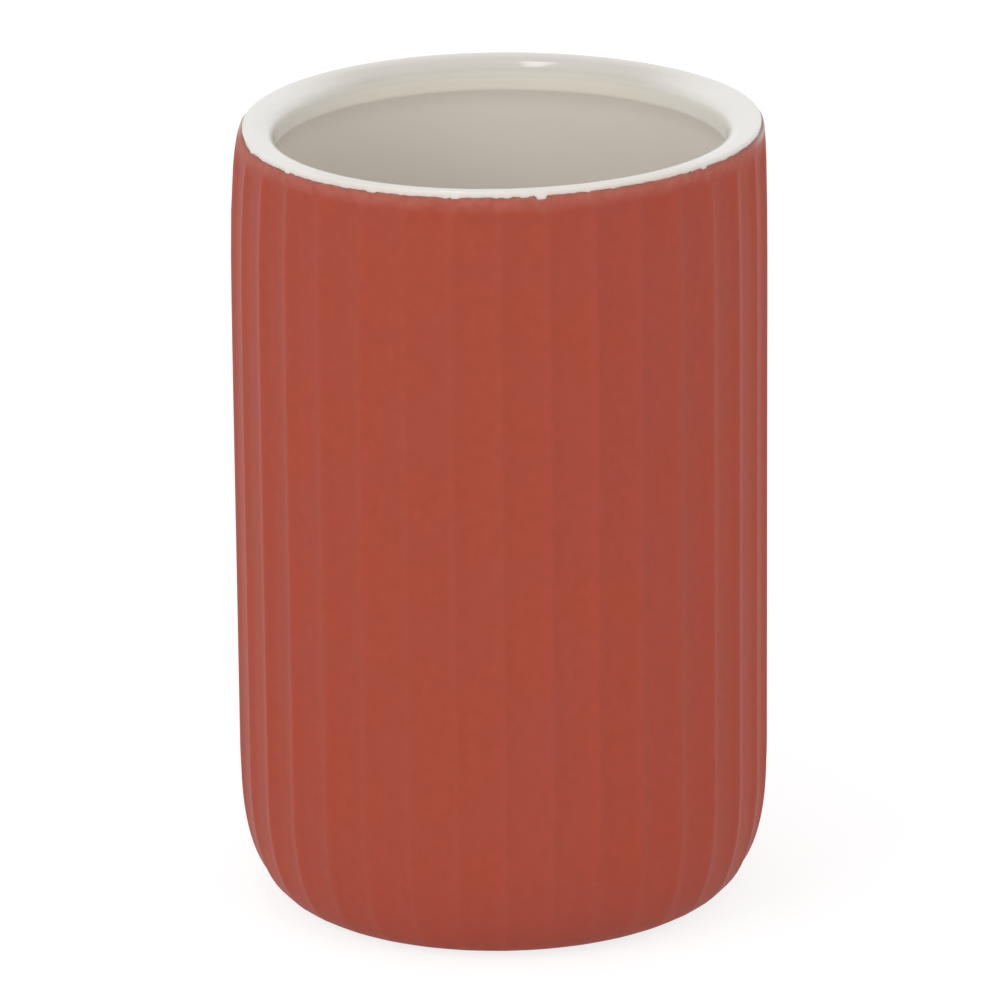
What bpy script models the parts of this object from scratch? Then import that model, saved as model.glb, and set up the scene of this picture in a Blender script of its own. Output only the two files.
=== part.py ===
"""A toothbrush holder: a round tumbler of fired clay with a fluted matt coat outside and a
glossy white glaze over its rim and inside. Metres, +Z up, standing on its foot ring at the
origin, with the front towards -Y."""

import math

import bpy

# The whole tumbler
OUTER_DIAMETER = 0.075
OVERALL_HEIGHT = 0.1122

# Inside form, as finished with glaze
LIP_THICKNESS = 0.0065
LIP_ROUND = 0.0033
LIP_BAND_HEIGHT = 0.0044
UNDERCUT_DEPTH = 0.0008
UNDERCUT_HEIGHT = 0.0014
FLOOR_HEIGHT = 0.006
FLOOR_ROUND = 0.006

# Outside form, as finished with the coat: the corners are superellipses, whose power
# sets how soon they leave the straight wall
SHOULDER_REACH = 0.0016
SHOULDER_HEIGHT = 0.05
SHOULDER_POWER = 6
BASE_ROUND_REACH = 0.0081
BASE_ROUND_HEIGHT = 0.022
BASE_ROUND_POWER = 2.8

# Flutes: hollows side by side, which meet in narrow crests, one crest at the front
FLUTE_COUNT = 35
FLUTE_DEPTH = 0.00045
PLAIN_BAND_HEIGHT = 0.0013
FLUTE_FADE_HEIGHT = 0.0037

# Layers, with the seam that parts them
COAT_THICKNESS = 0.0004
GLAZE_THICKNESS = 0.0004
SEAM = 0.0003

# The bare foot ring stands a little proud of the coat
FOOT_DROP = 0.0004
FOOT_SET_BACK = 0.002
FOOT_WIDTH = 0.004
FOOT_SLOPE = 0.0005
RECESS_DEPTH = 0.0015

# Counts of the mesh
COAT_SIDES_PER_FLUTE = 4
CLAY_SIDES_PER_FLUTE = 2
GLAZE_SIDES_PER_FLUTE = 2
SHOULDER_POINTS = 5
BASE_POINTS = 6
LIP_ARC_POINTS = 5
UNDERCUT_POINTS = 4
FLOOR_ARC_POINTS = 5

# Finish of each piece: colour, roughness
COAT_FINISH = ((0.39, 0.078, 0.05, 1.0), 0.6)
GLAZE_FINISH = ((0.76, 0.73, 0.67, 1.0), 0.15)
CLAY_FINISH = ((0.79, 0.75, 0.68, 1.0), 0.85)
SHARP_ANGLE = math.radians(40)

# Worked out from the sizes above
WALL_RADIUS = OUTER_DIAMETER / 2
LIP_RADIUS = WALL_RADIUS - LIP_THICKNESS
INSIDE_RADIUS = LIP_RADIUS + UNDERCUT_DEPTH
UNDERSIDE_RADIUS = WALL_RADIUS - BASE_ROUND_REACH
FOOT_OUTER_RADIUS = UNDERSIDE_RADIUS - FOOT_SET_BACK
FOOT_INNER_RADIUS = FOOT_OUTER_RADIUS - FOOT_WIDTH
COAT_TO_CLAY = COAT_THICKNESS + SEAM
GLAZE_TO_CLAY = GLAZE_THICKNESS + SEAM
# The coat and the glaze end in faces at 45 degrees on the rim, a seam apart
RIM_SEAM = SEAM * math.sqrt(2)


def clear_scene():
    for obj in list(bpy.data.objects):
        bpy.data.objects.remove(obj, do_unlink=True)


def shares(count):
    """Evenly spaced shares from 0 to 1, both ends among them."""
    return [i / (count - 1) for i in range(count)]


def smooth_step(share):
    share = min(max(share, 0), 1)
    return share * share * (3 - 2 * share)


def corner_curve(reach, height, power, count):
    """(inset from the wall, distance from the end face) along a superellipse corner, from
    the end face to the wall."""
    points = []
    for share in shares(count):
        angle = share * math.pi / 2
        inset = reach * (1 - math.sin(angle))
        along = height * (1 - math.cos(angle) ** (2 / power))
        points.append((inset, along))
    return points


def outside_line(layer):
    """(radius, height) down the outside, from the rim to the underside, taken in by the
    depth of a layer."""
    radius = WALL_RADIUS - layer
    top = OVERALL_HEIGHT - layer
    bottom = FOOT_DROP + layer
    shoulder = corner_curve(SHOULDER_REACH, SHOULDER_HEIGHT, SHOULDER_POWER, SHOULDER_POINTS)
    base = corner_curve(BASE_ROUND_REACH, BASE_ROUND_HEIGHT, BASE_ROUND_POWER, BASE_POINTS)
    line = [(radius - inset, top - along) for inset, along in shoulder]
    line += [(radius - inset, bottom + along) for inset, along in reversed(base)]
    return line


def inside_line(layer):
    """(radius, height) up the inside, from the middle of the floor to the lip's top, taken
    into the wall by the depth of a layer."""
    floor = FLOOR_HEIGHT - layer
    wall = INSIDE_RADIUS + layer
    lip = LIP_RADIUS + layer
    top = OVERALL_HEIGHT - layer
    line = [(0, floor)]
    for share in shares(FLOOR_ARC_POINTS):
        angle = share * math.pi / 2
        radius = wall - FLOOR_ROUND * (1 - math.sin(angle))
        line.append((radius, floor + FLOOR_ROUND * (1 - math.cos(angle))))
    undercut_top = OVERALL_HEIGHT - LIP_BAND_HEIGHT
    for share in shares(UNDERCUT_POINTS):
        radius = wall - UNDERCUT_DEPTH * smooth_step(share)
        line.append((radius, undercut_top - UNDERCUT_HEIGHT * (1 - share)))
    for share in shares(LIP_ARC_POINTS):
        angle = share * math.pi / 2
        radius = lip + LIP_ROUND * (1 - math.cos(angle))
        line.append((radius, top - LIP_ROUND * (1 - math.sin(angle))))
    return line


def coat_profile():
    """The skin outside, from the rim's outer edge round the base to the foot ring."""
    end = FOOT_OUTER_RADIUS + SEAM
    outer = outside_line(0)
    inner = outside_line(COAT_THICKNESS)
    face = [(end, FOOT_DROP), (end, FOOT_DROP + COAT_THICKNESS)]
    return outer + face + inner[::-1]


def glaze_profile():
    """The skin from the middle of the floor up the inside and over the rim."""
    end = WALL_RADIUS - SHOULDER_REACH - RIM_SEAM
    upper = inside_line(0) + [(end, OVERALL_HEIGHT)]
    under = inside_line(GLAZE_THICKNESS)
    under.append((end - GLAZE_THICKNESS, OVERALL_HEIGHT - GLAZE_THICKNESS))
    return upper + under[::-1]


def clay_profile():
    """The fired clay between the two skins, with its foot ring and the recess in it."""
    inside = inside_line(GLAZE_TO_CLAY)
    outside = outside_line(COAT_TO_CLAY)
    underside = FOOT_DROP + COAT_TO_CLAY
    foot = [
        (FOOT_OUTER_RADIUS, underside),
        (FOOT_OUTER_RADIUS, FOOT_SLOPE),
        (FOOT_OUTER_RADIUS - FOOT_SLOPE, 0),
        (FOOT_INNER_RADIUS + FOOT_SLOPE, 0),
        (FOOT_INNER_RADIUS - FOOT_SLOPE, RECESS_DEPTH),
        (0, RECESS_DEPTH),
    ]
    return inside + outside + foot


def turned(name, profile, sides, closed):
    """The profile turned about Z. It starts at the front, so that a side ends at each crest."""
    points = [(0, -radius, height) for radius, height in profile]
    edges = [(i, i + 1) for i in range(len(points) - 1)]
    if closed:
        edges.append((len(points) - 1, 0))
    outline = bpy.data.meshes.new(name + "_outline")
    outline.from_pydata(points, edges, [])
    guide = bpy.data.objects.new(name + "_outline", outline)
    bpy.context.scene.collection.objects.link(guide)
    screw = guide.modifiers.new("turn", "SCREW")
    screw.axis = "Z"
    screw.angle = math.tau
    screw.steps = sides
    screw.render_steps = sides
    screw.use_merge_vertices = True
    screw.merge_threshold = 0.000001
    graph = bpy.context.evaluated_depsgraph_get()
    mesh = bpy.data.meshes.new_from_object(guide.evaluated_get(graph))
    mesh.name = name
    bpy.data.objects.remove(guide)
    bpy.data.meshes.remove(outline)
    return mesh


def flute_hollow(x, y, z, layer):
    """How far a point of the outside is drawn in by its flute, nothing at a crest, on the
    rim's plain band and at the underside."""
    turn = math.atan2(x, -y) / math.tau * FLUTE_COUNT
    across = 2 * (turn - math.floor(turn)) - 1
    hollow = 1 - across * across
    below_band = OVERALL_HEIGHT - layer - PLAIN_BAND_HEIGHT - z
    top_share = smooth_step(below_band / FLUTE_FADE_HEIGHT)
    from_underside = math.hypot(x, y) + layer - UNDERSIDE_RADIUS
    base_share = smooth_step(from_underside / BASE_ROUND_REACH)
    return FLUTE_DEPTH * hollow * top_share * base_share


def flute(mesh, layer_at):
    """Draws the mesh in along its flutes. layer_at gives the depth of a point's layer, or
    None where the point isn't on the fluted side."""
    for vertex in mesh.vertices:
        x, y, z = vertex.co
        layer = layer_at(vertex)
        radius = math.hypot(x, y)
        if layer is None or radius == 0:
            continue
        share = 1 - flute_hollow(x, y, z, layer) / radius
        vertex.co = (x * share, y * share, z)


def faces_out(vertex):
    return vertex.normal.x * vertex.co.x + vertex.normal.y * vertex.co.y > 0


def coat_layer(vertex):
    return 0 if faces_out(vertex) else COAT_THICKNESS


def clay_layer(vertex):
    return COAT_TO_CLAY if faces_out(vertex) else None


def finish_material(name, finish):
    colour, roughness = finish
    material = bpy.data.materials.new(name)
    material.use_nodes = True
    shader = material.node_tree.nodes["Principled BSDF"]
    shader.inputs["Base Color"].default_value = colour
    shader.inputs["Roughness"].default_value = roughness
    shader.inputs["Metallic"].default_value = 0
    material.diffuse_color = colour
    return material


def add_piece(name, mesh, finish, collection):
    mesh.shade_smooth()
    mesh.set_sharp_from_angle(angle=SHARP_ANGLE)
    mesh.materials.append(finish_material(name, finish))
    piece = bpy.data.objects.new(name, mesh)
    collection.objects.link(piece)
    return piece


def build():
    clear_scene()
    holder = bpy.data.collections.new("toothbrush_holder")
    bpy.context.scene.collection.children.link(holder)

    clay_sides = CLAY_SIDES_PER_FLUTE * FLUTE_COUNT
    clay = turned("ceramic_body", clay_profile(), clay_sides, closed=False)
    flute(clay, clay_layer)
    add_piece("ceramic_body", clay, CLAY_FINISH, holder)

    coat_sides = COAT_SIDES_PER_FLUTE * FLUTE_COUNT
    coat = turned("coral_coat", coat_profile(), coat_sides, closed=True)
    flute(coat, coat_layer)
    add_piece("coral_coat", coat, COAT_FINISH, holder)

    glaze_sides = GLAZE_SIDES_PER_FLUTE * FLUTE_COUNT
    glaze = turned("white_glaze", glaze_profile(), glaze_sides, closed=False)
    add_piece("white_glaze", glaze, GLAZE_FINISH, holder)


build()
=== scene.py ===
"""Looks of a toothbrush holder: a round tumbler of fired clay with a fluted matt coral coat
outside and a glossy white glaze over its rim and inside. Metres, +Z up, the front towards -Y."""

import math

import bmesh
import bpy
import numpy as np
from mathutils import Matrix, Vector, noise


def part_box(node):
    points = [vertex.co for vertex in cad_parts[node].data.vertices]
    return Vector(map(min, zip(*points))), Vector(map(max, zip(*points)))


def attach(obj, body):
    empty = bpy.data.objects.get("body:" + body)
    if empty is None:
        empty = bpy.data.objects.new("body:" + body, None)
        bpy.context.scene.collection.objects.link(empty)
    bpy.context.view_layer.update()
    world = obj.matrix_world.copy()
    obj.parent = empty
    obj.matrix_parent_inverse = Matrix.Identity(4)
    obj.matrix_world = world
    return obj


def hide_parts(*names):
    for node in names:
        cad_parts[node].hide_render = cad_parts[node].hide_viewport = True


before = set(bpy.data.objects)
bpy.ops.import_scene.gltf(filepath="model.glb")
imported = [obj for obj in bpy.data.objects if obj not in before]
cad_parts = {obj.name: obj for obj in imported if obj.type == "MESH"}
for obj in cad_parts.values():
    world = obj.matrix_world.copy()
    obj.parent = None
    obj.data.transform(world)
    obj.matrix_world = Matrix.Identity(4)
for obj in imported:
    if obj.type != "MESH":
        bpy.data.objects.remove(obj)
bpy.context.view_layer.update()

# Sizes of the tumbler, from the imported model
coat_low, coat_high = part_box("coral_coat")
glaze_low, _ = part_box("white_glaze")
WALL_RADIUS = -coat_low.y
TOP = coat_high.z
COAT_FOOT = coat_low.z
GLAZE_THICKNESS = 0.0004
FLOOR_HEIGHT = glaze_low.z + GLAZE_THICKNESS

# Sizes that the boxes don't give. The lip falls gently inwards over most of its thickness,
# turns down to a plain band, and the wall steps back under that, at first sharply
LIP_THICKNESS = 0.0061
LIP_ROUND_REACH = 0.0041
LIP_ROUND_HEIGHT = 0.0034
LIP_ROUND_POWER = 3.6
LIP_BAND_HEIGHT = 0.0043
UNDERCUT_DEPTH = 0.0004
UNDERCUT_HEIGHT = 0.0032
UNDERCUT_POWER = 2.2
FLOOR_ROUND = 0.006
SHOULDER_REACH = 0.0016
SHOULDER_HEIGHT = 0.05
SHOULDER_POWER = 6
BASE_ROUND_REACH = 0.0081
BASE_ROUND_HEIGHT = 0.0213
BASE_ROUND_POWER = 2.6
FOOT_SET_BACK = 0.002
FOOT_WIDTH = 0.004
FOOT_ROUND = 0.0005
RECESS_DEPTH = 0.0015

# Flutes. They fade in under a plain band at the rim and keep only a share of their depth at
# the base. The higher their power, the more steeply they fall away beside their crests
FLUTE_COUNT = 35
FLUTE_DEPTH = 0.0006
PLAIN_BAND_HEIGHT = 0.0013
FLUTE_FADE_HEIGHT = 0.0037
FLUTE_BASE_SHARE = 0.48
FLUTE_POWER = 2.7
ARRIS_SOFTNESS_SHARE = 0.11
FLUTE_VARIATION_SHARE = 0.25
FLUTE_SEED = 5

# Unevenness of a hand-finished casting. Its whole outside swells slowly in and out. The rim
# and the base rise a little to the right, and the rim stands a little to the right of the base
# and is slightly three-lobed, all of which fades out towards the middle
SWELL = 0.00005
SWELL_LENGTH = 0.03
RIM_TILT_SHARE = 0.005
BASE_TILT_SHARE = 0.0069
TILT_POWER = 8
RIM_SHIFT = 0.00029
RIM_LOBES = 0.00027
SHIFT_POWER = 14

# The coat's ragged upper edge, measured along the outline from the rim's flat. It lies
# lowest to the left of the front and opposite, and climbs towards the flat at both sides
COAT_DEPTH = 0.0002
EDGE_START = 0.00096
EDGE_SWAY = 0.0001
EDGE_LOWEST_TURN = math.radians(-52)
EDGE_WANDER = 0.00006
EDGE_WANDER_LENGTH = 0.008
EDGE_WANDER_SEED = 3
EDGE_RAG = 0.00007
EDGE_RAG_LENGTH = 0.0012
EDGE_RAG_SEED = 11
EDGE_BEAD = 0.0004
# Depth as a share of the coat's, and place as a share of the bead, up the broken edge
EDGE_PROFILE_SHARES = ((1, 0), (0.55, -0.1), (0.2, 0.15), (0.04, 0.5))
# How far down the coat is paler below its edge: painted light where it turns up towards the rim
PAINTED_SHOULDER_LIGHT_HEIGHT = 0.0022
# Turn, reach on each side and height of each climb
EDGE_CLIMBS = (
    (math.radians(-90), math.radians(18), 0.0009),
    (math.radians(95), math.radians(14), 0.0004),
)
# Small chips at random, each with a sloping side as a share of its half width
CHIP_COUNT = 90
CHIP_HALF_WIDTHS = (0.0003, 0.0011)
CHIP_DEPTHS = (0.00003, 0.00011)
CHIP_SLOPE_SHARE = 0.4
CHIP_SEED = 7
# Where the coat is paler beside its edge, behind a turn on each side: partly worn thin, partly
# painted light on the side edges, which face away from the lamps
LEFT_PALE_EDGE_TURN = math.radians(-80)
RIGHT_PALE_EDGE_TURN = math.radians(70)
PALE_EDGE_FADE = math.radians(12)
PALE_EDGE_HEIGHT = 0.0009
# Angle from the front in degrees, half width and depth of the larger chips seen in front
FRONT_CHIPS = (
    (8.8, 0.0009, 0.0005),
    (-9.6, 0.0007, 0.00018),
    (0.5, 0.0013, 0.0001),
    (-28.5, 0.0009, 0.00015),
    (-53.0, 0.0008, 0.00018),
    (50.3, 0.0006, 0.0002),
)

# How far the glaze runs down from the rim's flat and on under the coat, over what stretch it
# rises to the flat, and how far from the coat's edge it holds traces of coral
GLAZE_TUCK = 0.004
GLAZE_RISE = 0.0008
SMEAR_REACH = 0.0007
# Sine of the turn at which painted light starts to whiten the glaze towards the sides of the rim,
# how much earlier it does so in front, over what stretch, and how white the front is at least
SIDE_START = 0.55
SIDE_FRONT_LEAD = 0.1
SIDE_FADE = 0.4
FRONT_WHITE_SHARE = 0.35

# Points round each piece, gathered a little towards the crests of the flutes, from the
# crest next to the back
COAT_COLUMNS_PER_FLUTE = 36
GLAZE_COLUMNS_PER_FLUTE = 20
CLAY_COLUMNS_PER_FLUTE = 12
CREST_GATHER_SHARE = 0.3
FIRST_FLUTE = -(FLUTE_COUNT // 2)
# Stretches below the rim and at the base where the coat's rings lie closer together
RIM_RINGS_REACH = 0.007
BASE_RINGS_REACH = 0.026
# Faces that meet at more than this angle keep a sharp edge between them
SHARP_ANGLE = math.radians(60)

# Room left between pieces that touch, how far the glaze lies under the coat's face, and the
# radius left open at the axis
GAP = 0.00003
RIM_SINK = 0.00006
AXIS_GAP = 0.00002

# Room that unseen faces get in the unrolled map, against seen ones
HIDDEN_MAP_SHARE = 0.1

# Colours in linear light. A clouded colour is the one that a plain colour drifts into
WHITE = (1, 1, 1, 1)
CORAL = (0.4, 0.063, 0.0325, 1)
CLOUDED_CORAL = (0.386, 0.066, 0.039, 1)
CREST_CORAL = (0.5, 0.14, 0.1, 1)
# Painted light on the coat just under the rim
PAINTED_SHOULDER_LIGHT_CORAL = (0.5, 0.19, 0.15, 1)
# Partly worn thin, partly painted light on the side edges
WEAR_AND_PAINTED_LIGHT_CORAL = (0.6, 0.45, 0.4, 1)
BROKEN_CORAL = (0.24, 0.1, 0.08, 1)
CLOUDED_BROKEN_CORAL = (0.4, 0.15, 0.12, 1)
# The broken edge at the sides, partly worn and partly painted light
WEAR_AND_PAINTED_LIGHT_BROKEN_CORAL = (0.45, 0.36, 0.33, 1)
GLAZE = (0.905, 0.87, 0.775, 1)
CLOUDED_GLAZE = (0.885, 0.845, 0.755, 1)
# Painted light for the sides of the glaze and of its rim; painted shade for the lip and rim at the
# back and for the well
PAINTED_LIGHT_SIDE_COLOUR = (0.89, 0.875, 0.84, 1)
PAINTED_SHADE_LIP_COLOUR = (0.635, 0.595, 0.54, 1)
PAINTED_SHADE_RIM_COLOUR = (0.765, 0.715, 0.65, 1)
PAINTED_LIGHT_RIM_COLOUR = (0.85, 0.825, 0.79, 1)
PAINTED_SHADE_WELL_COLOUR = (0.815, 0.765, 0.69, 1)
SMEARED_GLAZE = (0.84, 0.62, 0.54, 1)
CLAY = (0.78, 0.74, 0.67, 1)
CLOUDED_CLAY = (0.70, 0.66, 0.58, 1)

# How far the crests of the flutes take their lighter colour, and from what share of the way
# up to them
CREST_LIGHT_SHARE = 0.04
CREST_START_SHARE = 0.6
# How far the glaze takes the sides' painted light, and the stretches of the lip, from 0 at its
# lower end to 1 at the rim's flat, over which it takes the lip's colour and then the rim's, painted
# shade at the back
SIDE_COLOUR_SHARE = 0.6
LIP_COLOUR_STRETCH = (0.1, 0.33)
RIM_COLOUR_STRETCH = (0.65, 1)
# The stretch of a noise's values over which a colour drifts into another, and the one over
# which a fine grain goes from weak to strong
CLOUD_STRETCH = (0.35, 0.65)
GRAIN_STRETCH = (0.3, 0.7)
# The same for the traces of coral, and how strong they are at least
SMEAR_STRETCH = (0.4, 0.7)
SMEAR_LEAST_SHARE = 0.3

# The studio. The camera and reflections see a floor that glows, so that it looks white
# while its shadow stays
FLOOR_HALF_WIDTH = 3.0
FLOOR_COLOUR = (0.88, 0.88, 0.88, 1)
FLOOR_SEEN_COLOUR = (0.3, 0.3, 0.3, 1)
FLOOR_GLOW = 0.8
WORLD_LIGHT = 0.61
# Name, azimuth and elevation in degrees, width and depth in metres, and power in watts
SOFTBOXES = (
    ("left_softbox", -50, 35, 1.0, 1.0, 6.1),
    ("right_softbox", 50, 35, 1.0, 1.0, 3.0),
    ("low_front_softbox", 0, 12, 1.0, 0.6, 2.8),
)
SOFTBOX_DISTANCE = 1.6
# The strip lamp's sizes in metres and power in watts, its place from the middle of the rim,
# and its turn, clockwise from above
STRIP_WIDTH = 0.09
STRIP_LENGTH = 0.9
STRIP_POWER = 1.25
STRIP_PLACE = (-0.175, 0.13, 1.09)
STRIP_TURN = math.radians(7.6)

# The photograph's view. The lens is shifted so that the tumbler lies this many pixels to the
# right and down
CAMERA_ELEVATION = math.radians(18.19)
CAMERA_DISTANCE = 1.177
CAMERA_AIM_HEIGHT = 0.0562
CAMERA_ROLL = math.radians(0.558)
FOCAL_PIXELS = 8375.2
FRAME_PIXELS = 1000
SENSOR = 36.0
OBJECT_RIGHT_PIXELS = 1.32
OBJECT_DOWN_PIXELS = 2.56

LIP_RADIUS = WALL_RADIUS - LIP_THICKNESS
INSIDE_RADIUS = LIP_RADIUS + UNDERCUT_DEPTH
RIM_FLAT = LIP_THICKNESS - LIP_ROUND_REACH - SHOULDER_REACH
UNDERSIDE_RADIUS = WALL_RADIUS - BASE_ROUND_REACH
FOOT_OUTER_RADIUS = UNDERSIDE_RADIUS - FOOT_SET_BACK
FOOT_INNER_RADIUS = FOOT_OUTER_RADIUS - FOOT_WIDTH


def smooth_step(share):
    """An even S-curve from 0 to 1, for a share that may lie outside that."""
    share = np.clip(share, 0, 1)
    return share * share * (3 - 2 * share)


def spaced(start, end, count, lean=1.0):
    """Values from start to end, closer together at the start where lean is over 1."""
    return start + (end - start) * np.linspace(0, 1, count) ** lean


class Outline:
    """A smooth line in the plane of radius and height, read by distance along it. It is
    given as named stretches, and ends holds the distance at which each one ends."""

    def __init__(self, **stretches):
        self.points = np.concatenate([np.array(points, float) for points in stretches.values()])
        steps = np.linalg.norm(np.diff(self.points, axis=0), axis=1)
        self.places = np.concatenate([[0], np.cumsum(steps)])
        self.length = self.places[-1]
        counts = np.cumsum([len(points) for points in stretches.values()])
        self.ends = {name: self.places[count - 1] for name, count in zip(stretches, counts)}
        slopes = np.gradient(self.points, self.places, axis=0)
        slopes /= np.linalg.norm(slopes, axis=1)[:, None]
        # Turned a quarter, so that it points out of the tumbler's wall
        self.normals = np.stack([-slopes[:, 1], slopes[:, 0]], axis=1)

    def at(self, place):
        """(radius, height, normal's radius, normal's height) at a distance along the line."""
        columns = (*self.points.T, *self.normals.T)
        return [np.interp(place, self.places, column) for column in columns]


def corner(reach, height, power):
    """Inset from the wall and distance from the end face along a superellipse corner."""
    angle = np.linspace(0, math.pi / 2, num=160)
    inset = reach * (1 - np.sin(angle))
    along = height * (1 - np.clip(np.cos(angle), 0, 1) ** (2 / power))
    return inset, along


def outside_outline():
    """From the rim's flat over the shoulder, down the wall, round the base and under it."""
    inset, along = corner(SHOULDER_REACH, SHOULDER_HEIGHT, SHOULDER_POWER)
    shoulder = np.stack([WALL_RADIUS - inset, TOP - along], axis=1)
    inset, along = corner(BASE_ROUND_REACH, BASE_ROUND_HEIGHT, BASE_ROUND_POWER)
    base = np.stack([WALL_RADIUS - inset, COAT_FOOT + along], axis=1)[::-1]
    return Outline(
        rim=[(LIP_RADIUS + LIP_ROUND_REACH, TOP)],
        shoulder=shoulder,
        base=base,
        under=[(FOOT_OUTER_RADIUS + GAP, COAT_FOOT)],
    )


def inside_outline():
    """From the rim's flat over the lip, down the inside and across the floor to the axis."""
    inset, along = corner(LIP_ROUND_REACH, LIP_ROUND_HEIGHT, LIP_ROUND_POWER)
    share = np.linspace(0, 1, num=33)[1:]
    cut_radius = INSIDE_RADIUS - UNDERCUT_DEPTH * (1 - share) ** UNDERCUT_POWER
    cut_height = TOP - LIP_BAND_HEIGHT - UNDERCUT_HEIGHT * share
    angle = np.linspace(0, math.pi / 2, num=40)
    turn_radius = INSIDE_RADIUS - FLOOR_ROUND * (1 - np.cos(angle))
    turn_height = FLOOR_HEIGHT + FLOOR_ROUND * (1 - np.sin(angle))
    return Outline(
        rim=[(WALL_RADIUS - SHOULDER_REACH, TOP)],
        lip=np.stack([LIP_RADIUS + inset, TOP - along], axis=1),
        band=[(LIP_RADIUS, TOP - LIP_BAND_HEIGHT)],
        undercut=np.stack([cut_radius, cut_height], axis=1),
        wall=[(INSIDE_RADIUS, FLOOR_HEIGHT + FLOOR_ROUND)],
        turn=np.stack([turn_radius, turn_height], axis=1)[1:],
        floor=[(0, FLOOR_HEIGHT)],
    )


outside = outside_outline()
inside = inside_outline()


def column_turns(columns_per_flute):
    """Turn of each column from the front, in flutes, gathered towards the crests."""
    flutes = FIRST_FLUTE + np.arange(FLUTE_COUNT * columns_per_flute) / columns_per_flute
    return flutes - CREST_GATHER_SHARE * np.sin(math.tau * flutes) / math.tau


def turn_angles(turns):
    """Angle of each column from the front."""
    return turns * math.tau / FLUTE_COUNT


def off_crest(turns):
    """How far each column lies from the nearest crest, 1 halfway between two."""
    return np.abs(turns - np.round(turns)) * 2


def ring_noise(angles, length, seed):
    """Smooth noise round the tumbler, with no join, from about -1 to 1."""
    roughness, step, octaves = 1.0, 2.0, 2
    values = []
    for angle in angles:
        point = Vector((math.sin(angle), -math.cos(angle), 0)) * (WALL_RADIUS / length)
        point.z = seed
        values.append(noise.fractal(point, roughness, step, octaves))
    return np.array(values)


def chips():
    """Every chip in the coat's edge: angle from the front, half width, depth."""
    random = np.random.default_rng(CHIP_SEED)
    found = [(math.radians(turn), width, depth) for turn, width, depth in FRONT_CHIPS]
    for angle in random.uniform(-math.pi, math.pi, CHIP_COUNT):
        found.append((angle, random.uniform(*CHIP_HALF_WIDTHS), random.uniform(*CHIP_DEPTHS)))
    return found


def from_turn(angles, turn):
    """Each angle measured from a turn, between half a turn back and half a turn on."""
    return (angles - turn + math.pi) % math.tau - math.pi


def coat_edge(angles):
    """How far along the outside outline the coat starts, at each angle."""
    edge = EDGE_START + EDGE_SWAY * np.cos(2 * (angles - EDGE_LOWEST_TURN))
    for turn, reach, height in EDGE_CLIMBS:
        edge -= height * smooth_step(1 - np.abs(from_turn(angles, turn)) / reach)
    edge += EDGE_WANDER * ring_noise(angles, EDGE_WANDER_LENGTH, EDGE_WANDER_SEED)
    edge += EDGE_RAG * ring_noise(angles, EDGE_RAG_LENGTH, EDGE_RAG_SEED)
    for turn, half_width, depth in chips():
        across = np.abs(from_turn(angles, turn)) * WALL_RADIUS / half_width
        edge += depth * smooth_step((1 - across) / CHIP_SLOPE_SHARE)
    return RIM_FLAT + edge


def flute_hollow(turns, radius, height):
    """How far the outside is drawn in by its flutes, nothing at the rim and underneath."""
    soft = ARRIS_SOFTNESS_SHARE
    from_crest = np.sqrt(off_crest(turns) ** 2 + soft**2) - soft
    from_crest /= math.sqrt(1 + soft**2) - soft
    hollow = 1 - np.clip(1 - from_crest, 0, 1) ** FLUTE_POWER
    below_band = TOP - PLAIN_BAND_HEIGHT - height
    top_share = smooth_step(below_band / FLUTE_FADE_HEIGHT)
    base_share = smooth_step((radius - UNDERSIDE_RADIUS) / BASE_ROUND_REACH)
    up_base = smooth_step((height - COAT_FOOT) / BASE_ROUND_HEIGHT)
    base_share = base_share * (FLUTE_BASE_SHARE + (1 - FLUTE_BASE_SHARE) * up_base)
    random = np.random.default_rng(FLUTE_SEED)
    depths = FLUTE_DEPTH * (1 - FLUTE_VARIATION_SHARE * random.uniform(0, 1, FLUTE_COUNT))
    return depths[np.floor(turns).astype(int) % FLUTE_COUNT] * hollow * top_share * base_share


def swell(angles, height):
    """A slow unevenness of the casting, never outwards."""
    values = []
    for angle, z in zip(angles, np.broadcast_to(height, angles.shape)):
        point = Vector((math.sin(angle), -math.cos(angle), 0)) * WALL_RADIUS
        point.z = z / 2
        values.append(noise.noise(point / SWELL_LENGTH))
    return SWELL * (np.array(values) - 1) / 2


def uneven_ring(angles, radius, height):
    """A ring of points round the axis with the casting's lobes, shift and tilts."""
    radius, height = np.broadcast_arrays(radius, height, angles)[:2]
    up = np.clip((height - COAT_FOOT) / (TOP - COAT_FOOT), 0, 1)
    fade = up**SHIFT_POWER
    radius = radius * (1 - RIM_LOBES / WALL_RADIUS * fade * np.sin(3 * angles))
    across = radius * np.sin(angles)
    height = height + RIM_TILT_SHARE * (across - WALL_RADIUS) * up**TILT_POWER
    height = height + BASE_TILT_SHARE * across * (1 - up) ** TILT_POWER
    return np.stack([across + RIM_SHIFT * fade, -radius * np.cos(angles), height], axis=1)


def outside_ring(turns, place, depth):
    """A ring of points at a distance along the outside outline, sunk by a depth."""
    angles = turn_angles(turns)
    radius, height, out, up = outside.at(place)
    radius = radius - depth * out - flute_hollow(turns, radius, height) + swell(angles, height)
    return uneven_ring(angles, radius, height - depth * up)


def inside_ring(turns, place, depth):
    """A ring of points at a distance along the inside outline, sunk into the wall."""
    angles = turn_angles(turns)
    radius, height, out, up = inside.at(place)
    return uneven_ring(angles, radius + depth * out, height + depth * up)


def foot_ring(turns, radius, height):
    """A ring of points round the foot, which stands level."""
    angles = turn_angles(turns)
    level = height + 0 * angles
    return np.stack([radius * np.sin(angles), -radius * np.cos(angles), level], axis=1)


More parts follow.
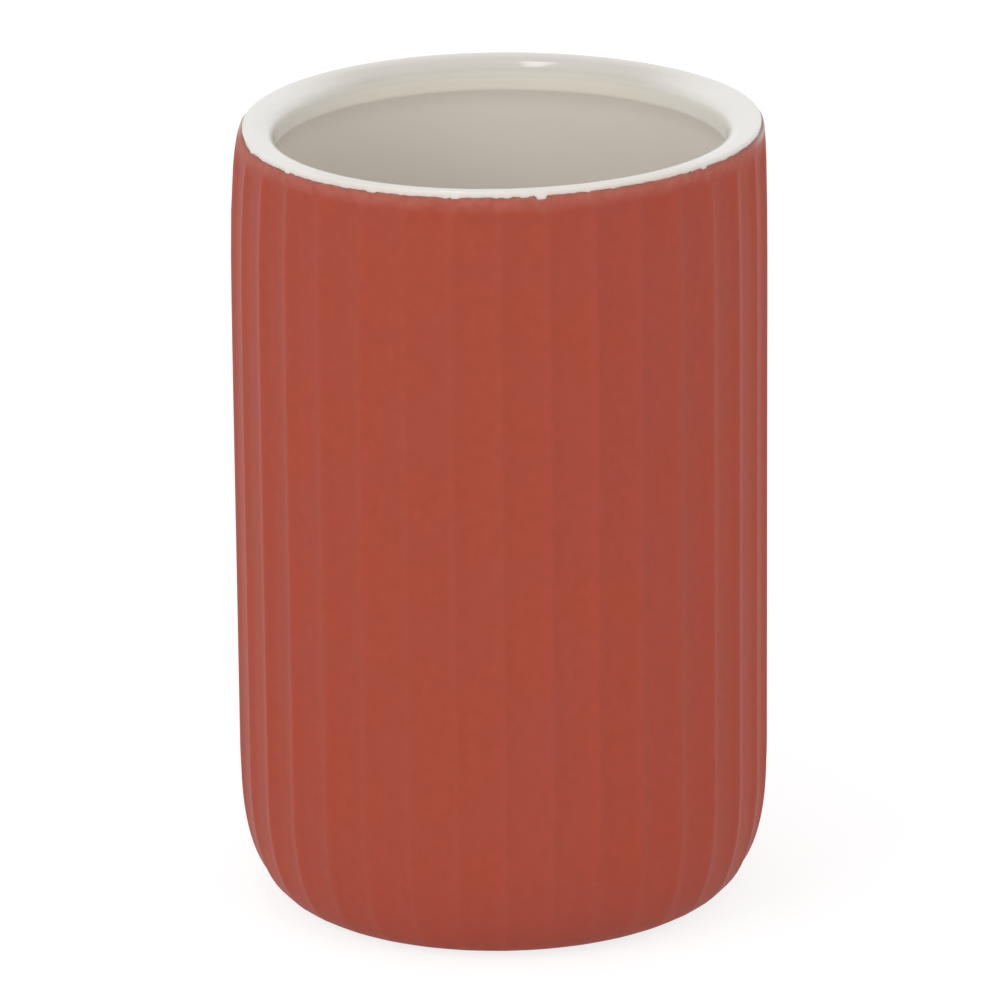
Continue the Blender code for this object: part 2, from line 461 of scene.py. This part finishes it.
def ringed_mesh(name, turns, rings, hidden, slots=None):
    """A closed mesh of rings, each joined to the next and the last one to the first. slots
    gives each band's material. The OFBake map is the skin unrolled, round the tumbler and
    along its section, with little room for the bands named by hidden."""
    grid = np.stack(rings)
    numbers = np.arange(grid.shape[0] * grid.shape[1]).reshape(grid.shape[:2])
    ahead = np.roll(numbers, -1, axis=0)
    corners = [numbers, ahead, np.roll(ahead, -1, axis=1), np.roll(numbers, -1, axis=1)]
    faces = np.stack(corners, axis=2).reshape(-1, 4)
    mesh = bpy.data.meshes.new(name)
    mesh.from_pydata(grid.reshape(-1, 3).tolist(), [], faces.tolist())
    if slots:
        mesh.polygons.foreach_set("material_index", np.repeat(slots, len(turns)))
    spans = np.linalg.norm(np.roll(grid, -1, axis=0) - grid, axis=2).mean(axis=1)
    spans[hidden] *= HIDDEN_MAP_SHARE
    along = np.concatenate([[0], np.cumsum(spans)]) / spans.sum()
    across = (np.append(turns, FIRST_FLUTE + FLUTE_COUNT) - FIRST_FLUTE) / FLUTE_COUNT
    left, low = np.meshgrid(across[:-1], along[:-1])
    right, high = np.meshgrid(across[1:], along[1:])
    unrolled = np.stack([left, low, left, high, right, high, right, low], axis=2)
    mesh.uv_layers.new(name="OFBake").data.foreach_set("uv", unrolled.astype(np.float32).ravel())
    work = bmesh.new()
    work.from_mesh(mesh)
    bmesh.ops.recalc_face_normals(work, faces=work.faces)
    work.to_mesh(mesh)
    work.free()
    mesh.shade_smooth()
    mesh.set_sharp_from_angle(angle=SHARP_ANGLE)
    return mesh


def add_piece(name, mesh, node, slot, *materials):
    """Puts a mesh on the tumbler's body, in place of one of the model's nodes."""
    for material in materials:
        mesh.materials.append(material)
    piece = bpy.data.objects.new(name, mesh)
    bpy.context.scene.collection.objects.link(piece)
    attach(piece, "root")
    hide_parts(node)


def point_values(mesh, name, values):
    """Gives each point of a mesh a value that its material reads by name."""
    attribute = mesh.attributes.new(name, "FLOAT", "POINT")
    attribute.data.foreach_set("value", np.asarray(values, np.float32).ravel())


class Finish:
    """A material with a Principled shader, and short calls for the nodes that feed it."""

    def __init__(self, name):
        self.material = bpy.data.materials.new(name)
        self.material.use_nodes = True
        self.nodes = self.material.node_tree.nodes
        self.inputs = self.nodes["Principled BSDF"].inputs
        self.place = self.nodes.new("ShaderNodeTexCoord").outputs["Object"]

    def feed(self, socket, value):
        """Links a node's output to a socket, or sets the socket to a plain value."""
        if isinstance(value, bpy.types.NodeSocket):
            self.material.node_tree.links.new(value, socket)
        else:
            socket.default_value = value

    def noise(self, size, detail=2.0, roughness=0.5):
        """A noise whose marks are about size metres across."""
        node = self.nodes.new("ShaderNodeTexNoise")
        self.feed(node.inputs["Vector"], self.place)
        node.inputs["Scale"].default_value = 1 / size
        node.inputs["Detail"].default_value = detail
        node.inputs["Roughness"].default_value = roughness
        return node.outputs["Fac"]

    def ranged(self, value, low, high, new_low, new_high):
        """Carries a value from one range over to another, and stops at its ends."""
        node = self.nodes.new("ShaderNodeMapRange")
        self.feed(node.inputs["Value"], value)
        node.inputs["From Min"].default_value = low
        node.inputs["From Max"].default_value = high
        node.inputs["To Min"].default_value = new_low
        node.inputs["To Max"].default_value = new_high
        return node.outputs["Result"]

    def spread(self, pattern, low, high):
        """Values from low to high where a fine noise goes from weak to strong."""
        return self.ranged(pattern, *GRAIN_STRETCH, low, high)

    def drifting(self, pattern, plain, clouded):
        """A colour that drifts into another where a noise is strong."""
        return self.mixed(self.ranged(pattern, *CLOUD_STRETCH, 0, 1), plain, clouded)

    def mottled(self, pattern, colour, low, high):
        """A colour multiplied by values from low to high, after a fine noise."""
        return self.mixed(1.0, colour, self.spread(pattern, low, high), "MULTIPLY")

    def mixed(self, share, first, second, kind="MIX"):
        """The first colour at share 0, the second one, or both multiplied, at share 1."""
        node = self.nodes.new("ShaderNodeMix")
        node.data_type = "RGBA"
        node.blend_type = kind
        self.feed(node.inputs[0], share)
        self.feed(node.inputs[6], first)
        self.feed(node.inputs[7], second)
        return node.outputs[2]

    def times(self, first, second):
        node = self.nodes.new("ShaderNodeMath")
        node.operation = "MULTIPLY"
        self.feed(node.inputs[0], first)
        self.feed(node.inputs[1], second)
        return node.outputs[0]

    def point_value(self, name):
        """A value that the mesh holds for each of its points."""
        node = self.nodes.new("ShaderNodeAttribute")
        node.attribute_name = name
        return node.outputs["Fac"]

    def bump(self, height, distance, strength, below=None):
        """Fine relief after a noise, distance high, on top of the relief named below."""
        node = self.nodes.new("ShaderNodeBump")
        node.inputs["Strength"].default_value = strength
        node.inputs["Distance"].default_value = distance
        self.feed(node.inputs["Height"], height)
        if below:
            self.feed(node.inputs["Normal"], below)
        return node.outputs["Normal"]


def coral_material():
    """Matt coral, a little lighter on the crests, and with painted light just under the rim."""
    finish = Finish("coral_coat")
    cloud = finish.noise(size=0.012, detail=3)
    colour = finish.drifting(cloud, CORAL, CLOUDED_CORAL)
    fleck = finish.noise(size=0.0016, detail=4, roughness=0.6)
    colour = finish.mottled(fleck, colour, low=0.96, high=1.04)
    crest = finish.point_value("crest")
    crest = finish.ranged(crest, CREST_START_SHARE, 1, 0, CREST_LIGHT_SHARE)
    colour = finish.mixed(crest, colour, CREST_CORAL)
    # Painted light: paler coral in patches just under the rim
    painted_shoulder_light = finish.times(finish.point_value("painted_shoulder_light"), finish.spread(fleck, low=0.2, high=0.5))
    colour = finish.mixed(painted_shoulder_light, colour, PAINTED_SHOULDER_LIGHT_CORAL)
    # Paler at both sides beside the edge: partly worn thin, partly painted light
    colour = finish.mixed(finish.point_value("wear_and_painted_light"), colour, WEAR_AND_PAINTED_LIGHT_CORAL)
    finish.feed(finish.inputs["Base Color"], colour)
    grain = finish.noise(size=0.0004, detail=3, roughness=0.6)
    finish.feed(finish.inputs["Roughness"], finish.spread(grain, low=0.66, high=0.78))
    finish.inputs["Specular IOR Level"].default_value = 0.3
    finish.inputs["Sheen Weight"].default_value = 0.09
    finish.inputs["Sheen Roughness"].default_value = 0.4
    fine = finish.bump(grain, distance=0.00002, strength=0.35)
    wavy = finish.bump(cloud, distance=0.0002, strength=0.15, below=fine)
    finish.feed(finish.inputs["Normal"], wavy)
    return finish.material


def coat_edge_material():
    """The broken edge of the coat, darker and greyer than its face."""
    finish = Finish("coral_coat_edge")
    grain = finish.noise(size=0.0008, detail=3)
    colour = finish.drifting(grain, BROKEN_CORAL, CLOUDED_BROKEN_CORAL)
    # Paler at both sides: partly worn, partly painted light
    colour = finish.mixed(finish.point_value("wear_and_painted_light"), colour, WEAR_AND_PAINTED_LIGHT_BROKEN_CORAL)
    finish.feed(finish.inputs["Base Color"], colour)
    finish.feed(finish.inputs["Roughness"], finish.spread(grain, low=0.7, high=0.9))
    return finish.material


def glaze_material():
    """Glossy creamy glaze, whitest on the sides of the rim with painted light, with painted shade
    over the top of the lip and rim at the back and inside below the lip band, and traces of coral
    beside the coat's edge."""
    finish = Finish("white_glaze")
    cloud = finish.noise(size=0.015, detail=3)
    colour = finish.drifting(cloud, GLAZE, CLOUDED_GLAZE)
    # Painted light whitens the glaze towards the sides and front, and painted shade darkens the lip
    # and rim at the back
    side = finish.point_value("side")
    colour = finish.mixed(finish.times(side, SIDE_COLOUR_SHARE), colour, PAINTED_LIGHT_SIDE_COLOUR)
    rim = finish.point_value("rim")
    lip_colour = finish.mixed(side, PAINTED_SHADE_LIP_COLOUR, PAINTED_LIGHT_RIM_COLOUR)
    colour = finish.mixed(finish.ranged(rim, *LIP_COLOUR_STRETCH, 0, 1), colour, lip_colour)
    rim_colour = finish.mixed(side, PAINTED_SHADE_RIM_COLOUR, PAINTED_LIGHT_RIM_COLOUR)
    colour = finish.mixed(finish.ranged(rim, *RIM_COLOUR_STRETCH, 0, 1), colour, rim_colour)
    # Painted shade in the well, below the lip band
    colour = finish.mixed(finish.point_value("well"), colour, PAINTED_SHADE_WELL_COLOUR)
    patches = finish.noise(size=0.0012, detail=3, roughness=0.6)
    patches = finish.ranged(patches, *SMEAR_STRETCH, SMEAR_LEAST_SHARE, 1)
    colour = finish.mixed(finish.times(finish.point_value("smear"), patches), colour, SMEARED_GLAZE)
    finish.feed(finish.inputs["Base Color"], colour)
    wave = finish.noise(size=0.006, detail=2)
    finish.feed(finish.inputs["Roughness"], finish.spread(wave, low=0.06, high=0.12))
    finish.feed(finish.inputs["Normal"], finish.bump(wave, distance=0.0003, strength=0.06))
    return finish.material


def clay_material():
    """Bare fired clay, dry and finely grained."""
    finish = Finish("fired_clay")
    colour = finish.drifting(finish.noise(size=0.01, detail=4), CLAY, CLOUDED_CLAY)
    grain = finish.noise(size=0.0003, detail=4, roughness=0.7)
    colour = finish.mottled(grain, colour, low=0.92, high=1.04)
    finish.feed(finish.inputs["Base Color"], colour)
    finish.feed(finish.inputs["Roughness"], finish.spread(grain, low=0.78, high=0.92))
    finish.feed(finish.inputs["Normal"], finish.bump(grain, distance=0.00006, strength=0.5))
    return finish.material


def make_coat():
    """The fluted coat with its broken upper edge, a skin closed on its back."""
    turns = column_turns(COAT_COLUMNS_PER_FLUTE)
    angles = turn_angles(turns)
    edge = coat_edge(angles)
    # Paler at both sides beside the edge: partly worn thin, partly painted light on the side edges
    side = smooth_step(np.maximum(LEFT_PALE_EDGE_TURN - angles, angles - RIGHT_PALE_EDGE_TURN) / PALE_EDGE_FADE)
    rim_end = RIM_FLAT + RIM_RINGS_REACH
    base_start = outside.length - BASE_RINGS_REACH
    rings = [
        outside_ring(turns, edge + EDGE_BEAD * place_share, COAT_DEPTH * depth_share)
        for depth_share, place_share in EDGE_PROFILE_SHARES
    ]
    edge_bands = len(rings) - 1
    start = edge + EDGE_BEAD
    # Painted light, full at the coat's edge and fading down the shoulder
    painted_shoulder_light = [1 + 0 * edge] * len(rings)
    wear_and_painted_light = [side] * len(rings)
    for share in spaced(0, 1, count=18, lean=1.6):
        place = start + (rim_end - start) * share
        rings.append(outside_ring(turns, place, 0))
        painted_shoulder_light.append(1 - smooth_step((place - start) / PAINTED_SHOULDER_LIGHT_HEIGHT))
        wear_and_painted_light.append(side * (1 - smooth_step((place - start) / PALE_EDGE_HEIGHT)))
    for place in spaced(rim_end, base_start, count=14)[1:]:
        rings.append(outside_ring(turns, place, 0))
    for place in spaced(base_start, outside.length, count=22)[1:]:
        rings.append(outside_ring(turns, place, 0))
    seen = len(rings)
    for share in spaced(0, 1, count=10):
        place = outside.length + (edge - outside.length) * share
        rings.append(outside_ring(turns, place, COAT_DEPTH + GAP * 2))
    slots = [1] * edge_bands + [0] * (len(rings) - edge_bands)
    mesh = ringed_mesh("coral_coat_skin", turns, rings, slice(seen - 1, None), slots)
    point_values(mesh, "crest", [1 - off_crest(turns)] * len(rings))
    plain = [0 * edge] * (len(rings) - len(painted_shoulder_light))
    point_values(mesh, "painted_shoulder_light", painted_shoulder_light + plain)
    point_values(mesh, "wear_and_painted_light", wear_and_painted_light + plain)
    materials = coral_material(), coat_edge_material()
    add_piece("coral_coat_skin", mesh, "coral_coat", "coral_coat", *materials)


def make_glaze():
    """The glaze from under the coat's edge over the rim, down the inside and over the floor."""
    turns = column_turns(GLAZE_COLUMNS_PER_FLUTE)
    angles = turn_angles(turns)
    edge = coat_edge(angles)
    # The glaze is whitest at the sides and front of the rim, with painted light, and creamiest at
    # the back, with painted shade
    front = np.clip(np.cos(angles), 0, 1)
    past_start = np.abs(np.sin(angles)) - SIDE_START + SIDE_FRONT_LEAD * front
    side = np.maximum(smooth_step(past_start / SIDE_FADE), FRONT_WHITE_SHARE * front)
    tuck = RIM_FLAT + GLAZE_TUCK
    lip_end = inside.ends["lip"]
    band_end = inside.ends["band"]
    undercut_end = inside.ends["undercut"]
    wall_end = inside.ends["wall"]
    turn_end = inside.ends["turn"]
    floor_end = inside.length - AXIS_GAP
    rings = []
    smear = []
    for place in spaced(tuck, RIM_FLAT, count=18):
        # The white lies under the coat where the coat covers it, and rises to the rim
        depth = COAT_DEPTH * float(smooth_step((place - RIM_FLAT) / GLAZE_RISE))
        rings.append(outside_ring(turns, place, RIM_SINK + depth))
        smear.append(smooth_step(1 - np.abs(edge - place) / SMEAR_REACH))
    for place in spaced(0, RIM_FLAT, count=4)[1:]:
        rings.append(inside_ring(turns, place, RIM_SINK))
        smear.append(smooth_step(1 - np.abs(edge - RIM_FLAT + place) / SMEAR_REACH))
    rim = [1.0] * len(rings)
    for place in spaced(RIM_FLAT, lip_end, count=21)[1:]:
        rings.append(inside_ring(turns, place, RIM_SINK))
        rim.append(float((lip_end - place) / (lip_end - RIM_FLAT)))
    for place in spaced(lip_end, band_end, count=4)[1:]:
        rings.append(inside_ring(turns, place, RIM_SINK))
    well = [0.0] * len(rings)
    # Start, end and number of rings of each stretch, down the inside and back behind it
    down = (
        (band_end, undercut_end, 12),
        (undercut_end, wall_end, 8),
        (wall_end, turn_end, 11),
        (turn_end, floor_end, 6),
    )
    back = (
        (floor_end, turn_end, 3),
        (turn_end, wall_end, 8),
        (wall_end, undercut_end, 3),
        (undercut_end, RIM_FLAT / 2, 12),
    )
    for start, end, count in down:
        for place in spaced(start, end, count)[1:]:
            rings.append(inside_ring(turns, place, RIM_SINK))
    seen = len(rings)
    rings.append(inside_ring(turns, floor_end, GLAZE_THICKNESS))
    for start, end, count in back:
        for place in spaced(start, end, count)[1:]:
            rings.append(inside_ring(turns, place, GLAZE_THICKNESS))
    for place in spaced(RIM_FLAT, tuck, count=8):
        rings.append(outside_ring(turns, place, COAT_DEPTH + GLAZE_THICKNESS))
    mesh = ringed_mesh("white_glaze_lining", turns, rings, slice(seen - 1, None))
    point_values(mesh, "smear", smear + [0 * edge] * (len(rings) - len(smear)))
    rim += [0.0] * (len(rings) - len(rim))
    point_values(mesh, "rim", np.repeat(rim, len(turns)))
    # Painted shade: everything below the lip band takes the darker well colour
    well += [1.0] * (len(rings) - len(well))
    point_values(mesh, "well", np.repeat(well, len(turns)))
    point_values(mesh, "side", [side] * len(rings))
    add_piece("white_glaze_lining", mesh, "white_glaze", "white_glaze", glaze_material())


def foot_outline():
    """From the coat's end down the foot ring, under it and over the recess to the axis."""
    angle = np.linspace(0, math.pi / 2, num=6)
    outer = FOOT_OUTER_RADIUS - FOOT_ROUND * (1 - np.cos(angle))
    inner = FOOT_INNER_RADIUS + FOOT_ROUND * (1 - np.sin(angle))
    falling = FOOT_ROUND * (1 - np.sin(angle))
    rising = FOOT_ROUND * (1 - np.cos(angle))
    corner_radius = FOOT_INNER_RADIUS - FOOT_ROUND * np.sin(angle)
    corner_height = RECESS_DEPTH - rising[::-1]
    recess = spaced(FOOT_INNER_RADIUS - FOOT_ROUND, AXIS_GAP, count=6)[1:]
    radius = np.concatenate([outer, inner, corner_radius, recess])
    height = np.concatenate([falling, rising, corner_height, RECESS_DEPTH + 0 * recess])
    return zip(radius, height)


def make_clay():
    """The casting between the two, of which only the foot ring and its recess show."""
    turns = column_turns(CLAY_COLUMNS_PER_FLUTE)
    sunk = COAT_DEPTH + GLAZE_THICKNESS + GAP * 4
    rings = []
    for place in spaced(inside.length - AXIS_GAP, RIM_FLAT / 2, count=60):
        rings.append(inside_ring(turns, place, GLAZE_THICKNESS + GAP))
    for place in spaced(RIM_FLAT, outside.length, count=60):
        rings.append(outside_ring(turns, place, sunk))
    unseen = len(rings)
    for radius, height in foot_outline():
        rings.append(foot_ring(turns, radius, height))
    mesh = ringed_mesh("clay_body", turns, rings, slice(0, unseen))
    add_piece("clay_body", mesh, "ceramic_body", "fired_clay", clay_material())


def background_share(nodes, links):
    """1 for the camera's own rays and for reflections, 0 for light on the object."""
    path = nodes.new("ShaderNodeLightPath")
    either = nodes.new("ShaderNodeMath")
    either.operation = "MAXIMUM"
    links.new(path.outputs["Is Camera Ray"], either.inputs[0])
    links.new(path.outputs["Is Glossy Ray"], either.inputs[1])
    return either.outputs[0]


def make_floor():
    """A pale floor that the camera sees as white, with the tumbler's shadow on it."""
    half = FLOOR_HALF_WIDTH
    corners = [(-half, -half, 0), (half, -half, 0), (half, half, 0), (-half, half, 0)]
    mesh = bpy.data.meshes.new("studio_floor")
    mesh.from_pydata(corners, [], [(0, 1, 2, 3)])
    floor = bpy.data.objects.new("studio_floor", mesh)
    bpy.context.scene.collection.objects.link(floor)
    finish = Finish("studio_floor")
    nodes = finish.nodes
    links = finish.material.node_tree.links
    share = background_share(nodes, links)
    finish.feed(finish.inputs["Base Color"], finish.mixed(share, FLOOR_COLOUR, FLOOR_SEEN_COLOUR))
    finish.inputs["Roughness"].default_value = 0.9
    finish.inputs["Specular IOR Level"].default_value = 0.0
    finish.inputs["Emission Color"].default_value = WHITE
    finish.feed(finish.inputs["Emission Strength"], finish.times(share, FLOOR_GLOW))
    mesh.materials.append(finish.material)


def make_world():
    """Even soft light from all round, seen as white by the camera and in reflections."""
    world = bpy.data.worlds.new("studio")
    world.use_nodes = True
    nodes = world.node_tree.nodes
    links = world.node_tree.links
    lit = nodes["Background"]
    lit.inputs["Color"].default_value = WHITE
    lit.inputs["Strength"].default_value = WORLD_LIGHT
    seen = nodes.new("ShaderNodeBackground")
    seen.inputs["Color"].default_value = WHITE
    seen.inputs["Strength"].default_value = 1.0
    mix = nodes.new("ShaderNodeMixShader")
    links.new(background_share(nodes, links), mix.inputs["Fac"])
    links.new(lit.outputs[0], mix.inputs[1])
    links.new(seen.outputs[0], mix.inputs[2])
    links.new(mix.outputs[0], nodes["World Output"].inputs["Surface"])
    bpy.context.scene.world = world


def way_towards(azimuth, elevation):
    """Direction from the tumbler. Azimuth is from the front, positive to the right."""
    level = math.cos(elevation)
    return Vector((math.sin(azimuth) * level, -math.cos(azimuth) * level, math.sin(elevation)))


def add_lamp(name, width, depth, power):
    """A soft rectangular light."""
    light = bpy.data.lights.new(name, "AREA")
    light.shape = "RECTANGLE"
    light.size = width
    light.size_y = depth
    light.energy = power
    lamp = bpy.data.objects.new(name, light)
    bpy.context.scene.collection.objects.link(lamp)
    return lamp


def add_softbox(name, azimuth, elevation, width, depth, power):
    """A lamp aimed at the tumbler's rim, from a direction in degrees. It doesn't show in the
    gloss."""
    way = way_towards(math.radians(azimuth), math.radians(elevation))
    lamp = add_lamp(name, width, depth, power)
    lamp.location = Vector((0, 0, TOP)) + way * SOFTBOX_DISTANCE
    lamp.rotation_euler = way.to_track_quat("Z", "Y").to_euler()
    lamp.visible_glossy = False


def add_ceiling_strip():
    """A strip lamp overhead that faces down. Its reflection is the highlight on the rim."""
    lamp = add_lamp("ceiling_strip", STRIP_WIDTH, STRIP_LENGTH, STRIP_POWER)
    lamp.location = Vector((0, 0, TOP)) + Vector(STRIP_PLACE)
    lamp.rotation_euler = (0, 0, -STRIP_TURN)


def make_camera():
    """The photograph's view: a long lens from the front, looking a little down."""
    data = bpy.data.cameras.new("photo_camera")
    data.sensor_width = SENSOR
    data.lens = FOCAL_PIXELS * SENSOR / FRAME_PIXELS
    data.shift_x = -OBJECT_RIGHT_PIXELS / FRAME_PIXELS
    data.shift_y = OBJECT_DOWN_PIXELS / FRAME_PIXELS
    camera = bpy.data.objects.new("photo_camera", data)
    way = way_towards(0, CAMERA_ELEVATION)
    aim = way.to_track_quat("Z", "Y").to_matrix().to_4x4()
    place = Matrix.Translation(Vector((0, 0, CAMERA_AIM_HEIGHT)) + way * CAMERA_DISTANCE)
    camera.matrix_world = place @ aim @ Matrix.Rotation(-CAMERA_ROLL, 4, "Z")
    bpy.context.scene.collection.objects.link(camera)
    bpy.context.scene.camera = camera


make_coat()
make_glaze()
make_clay()
make_floor()
make_world()
add_ceiling_strip()
for softbox in SOFTBOXES:
    add_softbox(*softbox)
make_camera()
bpy.context.scene.view_settings.view_transform = "Standard"
